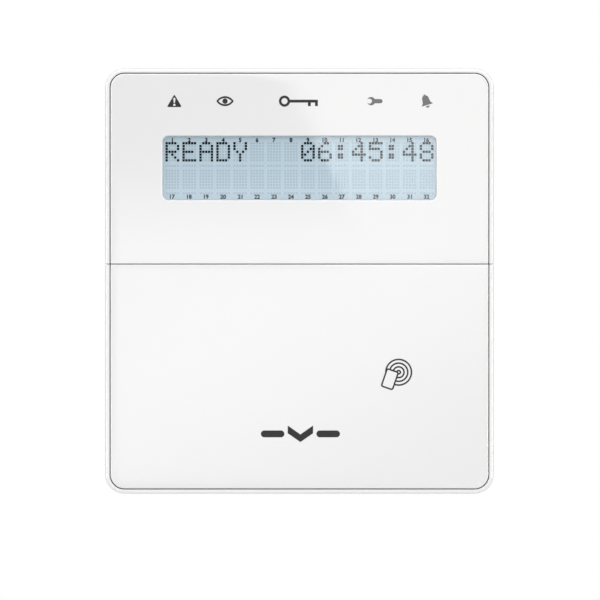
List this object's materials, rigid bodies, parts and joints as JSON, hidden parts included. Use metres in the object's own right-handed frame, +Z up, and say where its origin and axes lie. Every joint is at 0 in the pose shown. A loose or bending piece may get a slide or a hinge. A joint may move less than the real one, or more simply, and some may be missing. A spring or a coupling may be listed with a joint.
{
  "type": "alarm keypad panel",
  "caption": "Wall-mounted white alarm keypad with a backlit text display and status symbols above a flip-down door that covers the keys and carries a card reader mark.",
  "frame": {"origin": "centre of the flat rear face of the base, on the wall", "axes": "+Y into the wall, -Y out of the front, +Z up, +X to the right seen from the front"},
  "size_m": [0.126, 0.024, 0.138],
  "materials": {
    "housing_plastic": "fine satin moulding",
    "base_plastic": "fine matte moulding",
    "plate_gloss": "gloss, back-printed white",
    "window_clear": "clear gloss",
    "symbol_ink": "printed ink",
    "adhesive_tape": "matte",
    "black_foam": "matte foam",
    "lcd_cell": "clear with polariser",
    "diffuser": "milky",
    "light_guide": "frosted",
    "led": "gloss",
    "tinned_metal": "bright tin",
    "gold_pins": "gold flash",
    "screw_steel": "zinc plated",
    "board_laminate": "solder mask",
    "black_plastic": "matte",
    "white_plastic": "matte",
    "terminal_green": "matte",
    "capacitor_can": "satin",
    "coil_copper": "enamelled copper wire",
    "silicone_mat": "matte silicone",
    "key_silicone": "matte silicone"
  },
  "bodies": {
    "panel": {"rear_base": "base_plastic", "front_housing": "housing_plastic", "front_plate": "plate_gloss", "plate_tape": "adhesive_tape", "display_lens": "window_clear", "status_symbols": "symbol_ink", "lcd_gasket": "black_foam", "lcd_glass": "lcd_cell", "lcd_carrier": "white_plastic", "lcd_backlight": "diffuser", "lcd_pins": "tinned_metal", "status_light_guide": "light_guide", "status_leds": "led", "main_board": "board_laminate", "board_screws": "screw_steel", "board_chips": "black_plastic", "chip_leads": "tinned_metal", "board_capacitors": "capacitor_can", "service_header": "black_plastic", "header_pins": "gold_pins", "terminal_block": "terminal_green", "terminal_screws": "screw_steel", "buzzer": "black_plastic", "reader_coil": "coil_copper", "tamper_switch": "black_plastic", "key_mat": "silicone_mat", "key_leds": "led"},
    "door": {"door_frame": "housing_plastic", "door_tape": "adhesive_tape", "door_plate": "plate_gloss", "door_symbols": "symbol_ink"},
    "tamper_plunger": {"tamper_plunger": "white_plastic"},
    "key_1": {"key_1": "key_silicone"},
    "key_2": {"key_2": "key_silicone"},
    "key_3": {"key_3": "key_silicone"},
    "key_up": {"key_up": "key_silicone"},
    "key_4": {"key_4": "key_silicone"},
    "key_5": {"key_5": "key_silicone"},
    "key_6": {"key_6": "key_silicone"},
    "key_left": {"key_left": "key_silicone"},
    "key_7": {"key_7": "key_silicone"},
    "key_8": {"key_8": "key_silicone"},
    "key_9": {"key_9": "key_silicone"},
    "key_right": {"key_right": "key_silicone"},
    "key_star": {"key_star": "key_silicone"},
    "key_0": {"key_0": "key_silicone"},
    "key_hash": {"key_hash": "key_silicone"},
    "key_down": {"key_down": "key_silicone"}
  },
  "joints": [
    {"name": "door_hinge", "type": "hinge", "parent": "panel", "child": "door", "pos_m": [0, -0.019, -0.0672], "axis": [1, 0, 0], "range_deg": [0, 175]},
    {"name": "tamper_plunger_slide", "type": "slide", "parent": "panel", "child": "tamper_plunger", "axis": [0, -1, 0], "range_m": [0, 0.0008], "stiffness_N_per_m": 500, "springref_m": -0.002},
    {"name": "key_1_press", "type": "slide", "parent": "panel", "child": "key_1", "axis": [0, 1, 0], "range_m": [0, 0.00095], "stiffness_N_per_m": 500, "springref_m": -0.0006},
    {"name": "key_2_press", "type": "slide", "parent": "panel", "child": "key_2", "axis": [0, 1, 0], "range_m": [0, 0.00095], "stiffness_N_per_m": 500, "springref_m": -0.0006},
    {"name": "key_3_press", "type": "slide", "parent": "panel", "child": "key_3", "axis": [0, 1, 0], "range_m": [0, 0.00095], "stiffness_N_per_m": 500, "springref_m": -0.0006},
    {"name": "key_up_press", "type": "slide", "parent": "panel", "child": "key_up", "axis": [0, 1, 0], "range_m": [0, 0.00095], "stiffness_N_per_m": 500, "springref_m": -0.0006},
    {"name": "key_4_press", "type": "slide", "parent": "panel", "child": "key_4", "axis": [0, 1, 0], "range_m": [0, 0.00095], "stiffness_N_per_m": 500, "springref_m": -0.0006},
    {"name": "key_5_press", "type": "slide", "parent": "panel", "child": "key_5", "axis": [0, 1, 0], "range_m": [0, 0.00095], "stiffness_N_per_m": 500, "springref_m": -0.0006},
    {"name": "key_6_press", "type": "slide", "parent": "panel", "child": "key_6", "axis": [0, 1, 0], "range_m": [0, 0.00095], "stiffness_N_per_m": 500, "springref_m": -0.0006},
    {"name": "key_left_press", "type": "slide", "parent": "panel", "child": "key_left", "axis": [0, 1, 0], "range_m": [0, 0.00095], "stiffness_N_per_m": 500, "springref_m": -0.0006},
    {"name": "key_7_press", "type": "slide", "parent": "panel", "child": "key_7", "axis": [0, 1, 0], "range_m": [0, 0.00095], "stiffness_N_per_m": 500, "springref_m": -0.0006},
    {"name": "key_8_press", "type": "slide", "parent": "panel", "child": "key_8", "axis": [0, 1, 0], "range_m": [0, 0.00095], "stiffness_N_per_m": 500, "springref_m": -0.0006},
    {"name": "key_9_press", "type": "slide", "parent": "panel", "child": "key_9", "axis": [0, 1, 0], "range_m": [0, 0.00095], "stiffness_N_per_m": 500, "springref_m": -0.0006},
    {"name": "key_right_press", "type": "slide", "parent": "panel", "child": "key_right", "axis": [0, 1, 0], "range_m": [0, 0.00095], "stiffness_N_per_m": 500, "springref_m": -0.0006},
    {"name": "key_star_press", "type": "slide", "parent": "panel", "child": "key_star", "axis": [0, 1, 0], "range_m": [0, 0.00095], "stiffness_N_per_m": 500, "springref_m": -0.0006},
    {"name": "key_0_press", "type": "slide", "parent": "panel", "child": "key_0", "axis": [0, 1, 0], "range_m": [0, 0.00095], "stiffness_N_per_m": 500, "springref_m": -0.0006},
    {"name": "key_hash_press", "type": "slide", "parent": "panel", "child": "key_hash", "axis": [0, 1, 0], "range_m": [0, 0.00095], "stiffness_N_per_m": 500, "springref_m": -0.0006},
    {"name": "key_down_press", "type": "slide", "parent": "panel", "child": "key_down", "axis": [0, 1, 0], "range_m": [0, 0.00095], "stiffness_N_per_m": 500, "springref_m": -0.0006}
  ]
}
